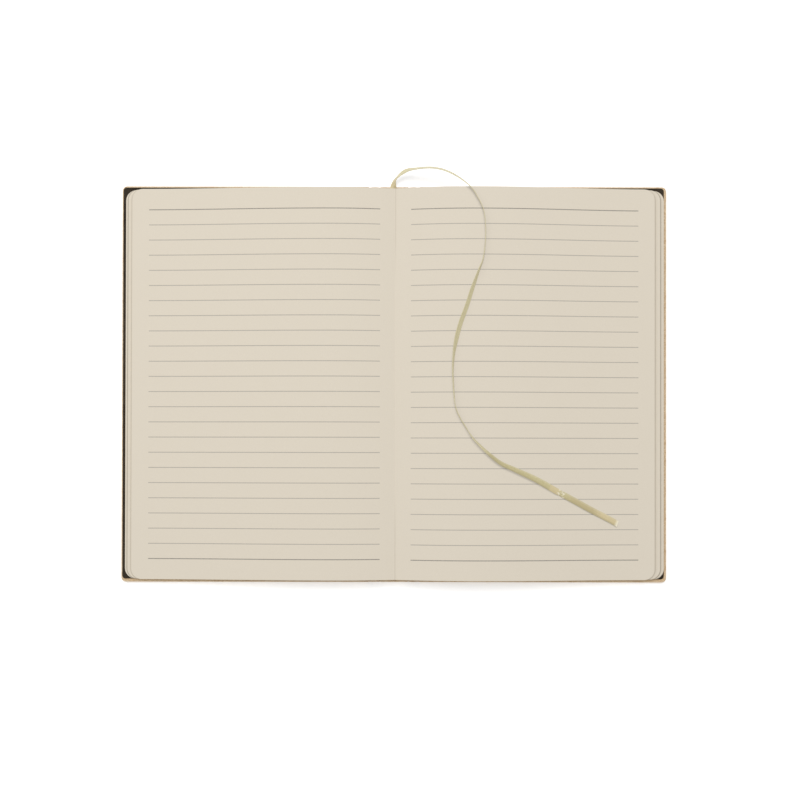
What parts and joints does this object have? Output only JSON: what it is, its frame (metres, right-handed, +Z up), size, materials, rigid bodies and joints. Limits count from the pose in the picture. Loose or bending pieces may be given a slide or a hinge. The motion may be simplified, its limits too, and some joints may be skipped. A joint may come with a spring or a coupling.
{
  "type": "open lined notebook",
  "caption": "Hardback lined notebook lying open near its middle, with curved page stacks, rounded page corners, hinged covers and a ribbon bookmark looped over the head.",
  "frame": {"origin": "middle of the open cover's underside, on the surface that the notebook lies on", "axes": "+X towards the right page's fore edge, +Y towards the head of the pages, +Z up"},
  "size_m": [0.289, 0.2182, 0.0176],
  "materials": {
    "page_paper": "matte ivory writing paper with thin grey rules",
    "endpaper": "matte near-black paper",
    "lining_gauze": "glued gauze and paper",
    "grey_board": "raw grey board",
    "cover_leather": "fine-grained tan imitation leather",
    "ribbon_satin": "pale olive satin"
  },
  "bodies": {
    "book_block": {"text_block": "page_paper", "front_flyleaf": "endpaper", "back_flyleaf": "endpaper", "spine_lining": "lining_gauze", "spine_board": "grey_board", "spine_covering": "cover_leather", "ribbon_bookmark": "ribbon_satin"},
    "front_cover": {"front_board": "grey_board", "front_covering": "cover_leather", "front_pastedown": "endpaper"},
    "back_cover": {"back_board": "grey_board", "back_covering": "cover_leather", "back_pastedown": "endpaper"}
  },
  "joints": [
    {"name": "front_hinge", "type": "hinge", "parent": "book_block", "child": "front_cover", "pos_m": [-0.0105, 0, 0.001], "axis": [0, -1, 0], "range_deg": [0, 90]},
    {"name": "back_hinge", "type": "hinge", "parent": "book_block", "child": "back_cover", "pos_m": [0.0105, 0, 0.001], "axis": [0, 1, 0], "range_deg": [0, 90]}
  ]
}
